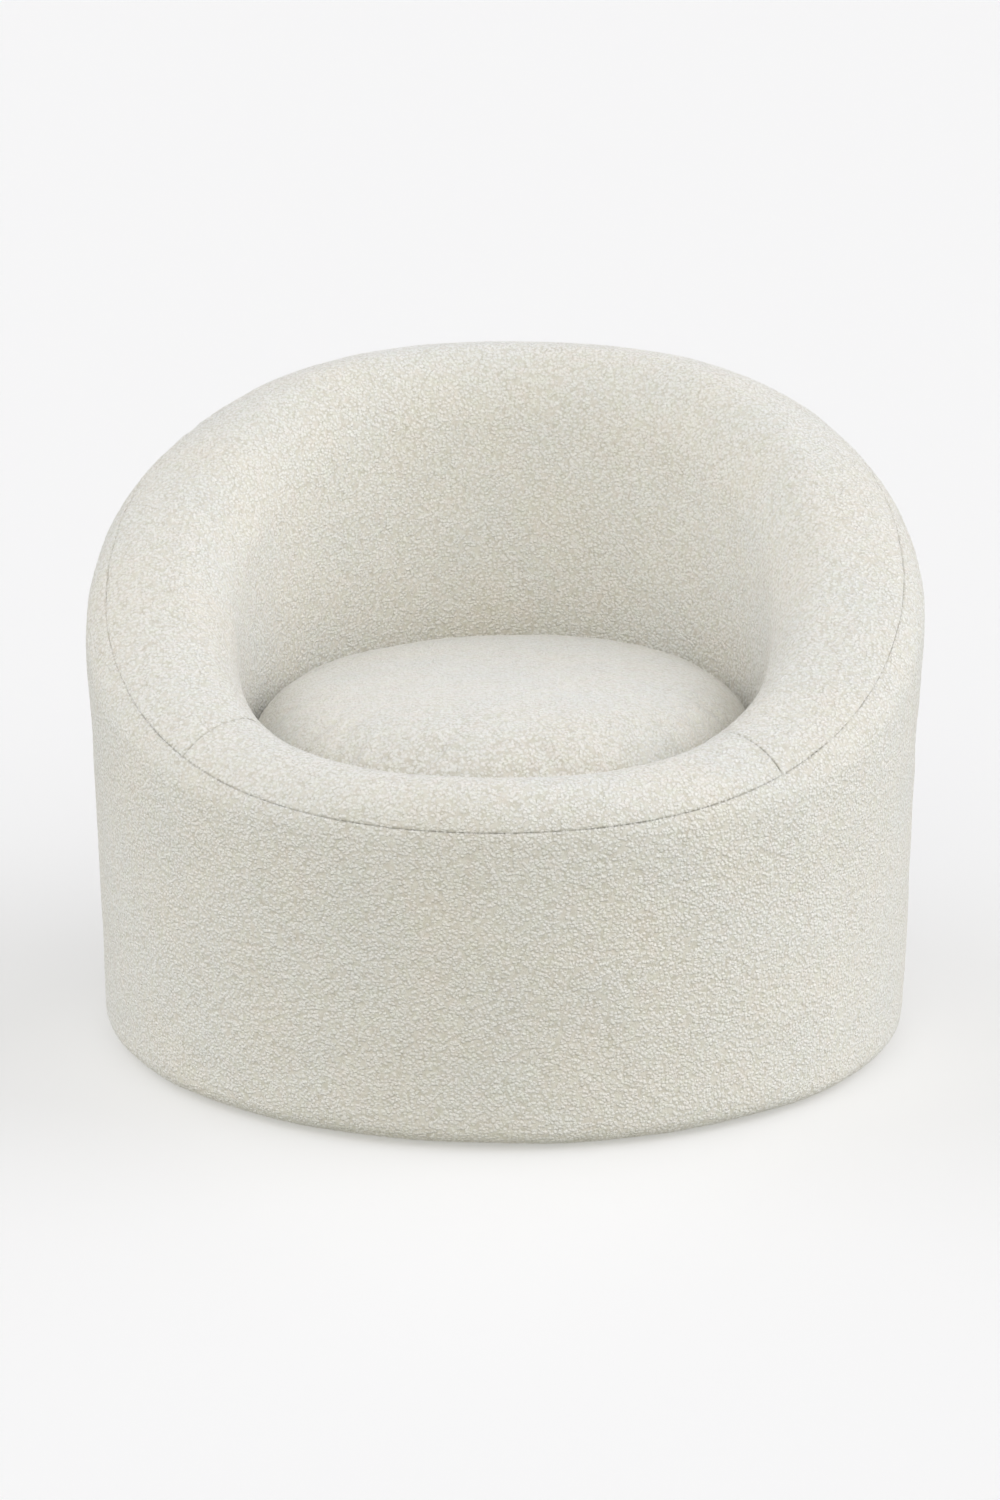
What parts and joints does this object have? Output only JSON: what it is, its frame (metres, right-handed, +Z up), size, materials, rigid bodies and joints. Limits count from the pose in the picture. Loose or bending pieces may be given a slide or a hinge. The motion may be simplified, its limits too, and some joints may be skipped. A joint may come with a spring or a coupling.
{
  "type": "upholstered swivel armchair",
  "caption": "Round barrel armchair in off-white boucle: scooped rim rising to the back, domed loose seat cushion, hidden swivel base to the floor.",
  "frame": {"origin": "on the floor under the middle of the chair", "axes": "+Z up, +X to the right as seen from in front, the sitter faces -Y"},
  "size_m": [0.95, 0.88, 0.7461],
  "materials": {
    "boucle": "looped boucle, off-white",
    "foam": "open-cell foam",
    "fibre": "bonded fibre",
    "hardboard": "smooth one side",
    "plywood": "raw",
    "zinc_steel": "zinc plated",
    "spring_steel": "oiled",
    "ball_steel": "polished",
    "nylon": "moulded",
    "felt": "needled felt",
    "deck_cloth": "plain woven",
    "dust_cloth": "non-woven",
    "zip_tape": "woven tape",
    "zip_coil": "nylon coil",
    "zip_metal": "painted"
  },
  "bodies": {
    "base": {"floor_glides": "nylon", "base_disc": "plywood", "swivel_lower_plate": "zinc_steel", "lower_plate_screws": "zinc_steel", "centre_rivet": "zinc_steel"},
    "bearing_cage": {"ball_cage": "nylon", "bearing_balls": "ball_steel"},
    "chair_body": {"cover_outside_band": "boucle", "cover_front_lip": "boucle", "cover_arms_back": "boucle", "foam_front_lip": "foam", "foam_arm_left": "foam", "foam_arm_right": "foam", "foam_back": "foam", "outer_wadding": "fibre", "outer_panel_front": "hardboard", "outer_panel_right": "hardboard", "outer_panel_back": "hardboard", "outer_panel_left": "hardboard", "inner_panel_right": "hardboard", "inner_panel_back": "hardboard", "inner_panel_left": "hardboard", "bottom_panel": "plywood", "skirt_rail": "plywood", "deck_frame": "plywood", "top_rail_front": "plywood", "top_rail_back": "plywood", "lower_rib_front": "plywood", "lower_rib_front_right": "plywood", "lower_rib_side_right": "plywood", "lower_rib_rear_right": "plywood", "lower_rib_rear_left": "plywood", "lower_rib_side_left": "plywood", "lower_rib_front_left": "plywood", "upper_rib_front": "plywood", "upper_rib_front_right": "plywood", "upper_rib_side_right": "plywood", "upper_rib_rear_right": "plywood", "upper_rib_rear_left": "plywood", "upper_rib_side_left": "plywood", "upper_rib_front_left": "plywood", "swivel_upper_plate": "zinc_steel", "upper_plate_screws": "zinc_steel", "frame_screws": "zinc_steel", "spring_clips": "zinc_steel", "seat_springs": "spring_steel", "deck_pad": "felt", "deck_cloth": "deck_cloth", "dust_cover": "dust_cloth"},
    "seat_cushion": {"cushion_foam": "foam", "cushion_crown_pad": "fibre", "cushion_cover_top": "boucle", "cushion_cover_bottom": "boucle", "cushion_boxing": "boucle", "zip_tape": "zip_tape", "zip_teeth": "zip_coil"},
    "zip_slider": {"zip_slider": "zip_metal"}
  },
  "joints": [
    {"name": "swivel", "type": "hinge", "parent": "base", "child": "chair_body", "pos_m": [0, 0, 0.036], "axis": [0, 0, 1], "continuous": true},
    {"name": "cage_roll", "type": "hinge", "parent": "base", "child": "bearing_cage", "pos_m": [0, 0, 0.036], "axis": [0, 0, 1], "continuous": true},
    {"name": "cushion_lift", "type": "slide", "parent": "chair_body", "child": "seat_cushion", "axis": [0, 0, 1], "range_m": [0, 0.15]},
    {"name": "zip_travel", "type": "hinge", "parent": "seat_cushion", "child": "zip_slider", "pos_m": [0, -0.014, 0.335], "axis": [0, 0, 1], "range_deg": [0, 110]}
  ],
  "couplings": [
    {"joint": "cage_roll", "follows": "swivel", "ratio": 0.5}
  ]
}
